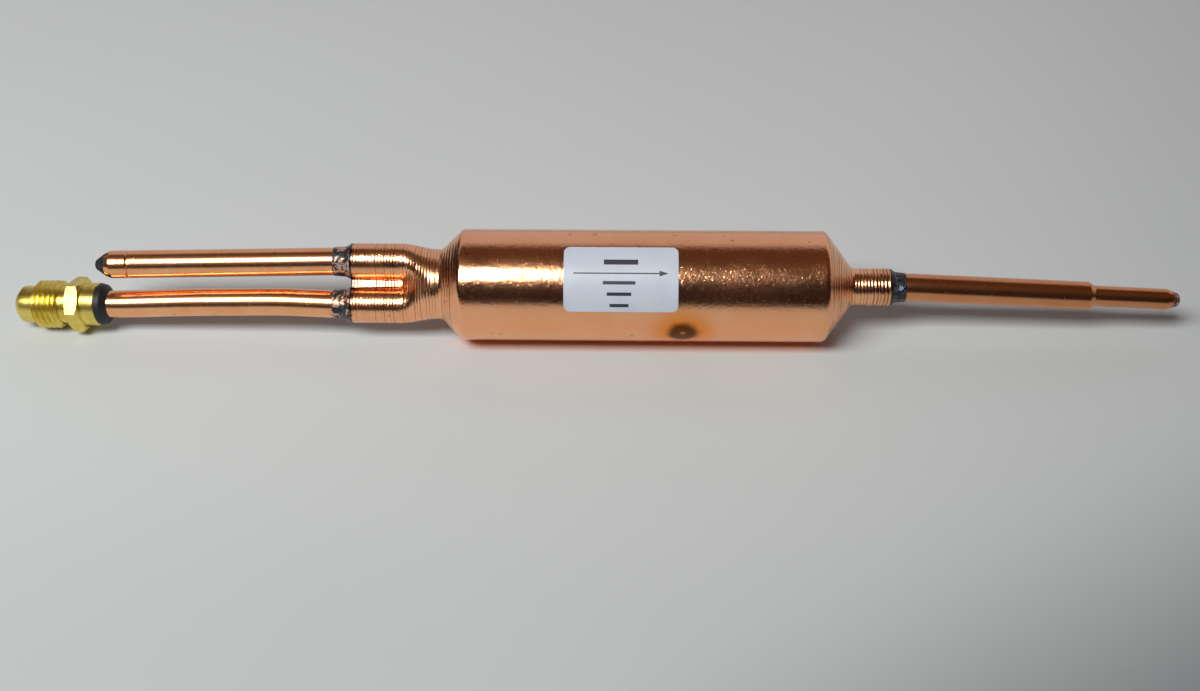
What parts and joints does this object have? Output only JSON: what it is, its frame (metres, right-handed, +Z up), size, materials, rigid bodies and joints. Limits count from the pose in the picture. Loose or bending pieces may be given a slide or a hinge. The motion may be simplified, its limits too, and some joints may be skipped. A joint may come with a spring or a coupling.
{
  "type": "filter drier",
  "caption": "Copper refrigeration filter drier with a pinched twin inlet, a brass access valve on one tube and a stepped outlet stub.",
  "frame": {"origin": "on the surface it lies on, under the body's axis and midway between its two ends", "axes": "+X along the flow from the twin inlet to the outlet, +Z up, -Y to the side that the label faces"},
  "size_m": [0.2674, 0.0254, 0.0254],
  "materials": {
    "copper_spun": "polished",
    "copper_drawn": "polished",
    "braze": "satin",
    "brass": "polished",
    "gasket": "matte",
    "seal_rubber": "matte",
    "spring_steel": "satin",
    "ring_brass": "satin",
    "mesh_steel": "satin",
    "beads": "matte",
    "label_paper": "satin",
    "label_ink": "matte"
  },
  "bodies": {
    "drier": {"drier_shell": "copper_spun", "process_tube": "copper_drawn", "access_tube": "copper_drawn", "outlet_tube": "copper_drawn", "process_socket_braze": "braze", "access_socket_braze": "braze", "outlet_socket_braze": "braze", "valve_braze": "braze", "process_tip_seal": "braze", "outlet_tip_seal": "braze", "valve_body": "brass", "core_plug": "brass", "core_barrel": "brass", "core_gasket": "gasket", "core_spring": "spring_steel", "inlet_screen_ring": "ring_brass", "outlet_strainer_ring": "ring_brass", "inlet_screen_mesh": "mesh_steel", "outlet_strainer_mesh": "mesh_steel", "desiccant_bed": "beads", "label": "label_paper", "label_print": "label_ink"},
    "valve_pin": {"core_pin": "brass", "core_cup": "brass", "core_seal": "seal_rubber"}
  },
  "joints": [
    {"name": "valve_pin_press", "type": "slide", "parent": "drier", "child": "valve_pin", "axis": [0.9902, -0.1075, 0.0888], "range_m": [0, 0.0015], "stiffness_N_per_m": 400, "springref_m": -0.002, "deforming": ["core_spring"]}
  ]
}
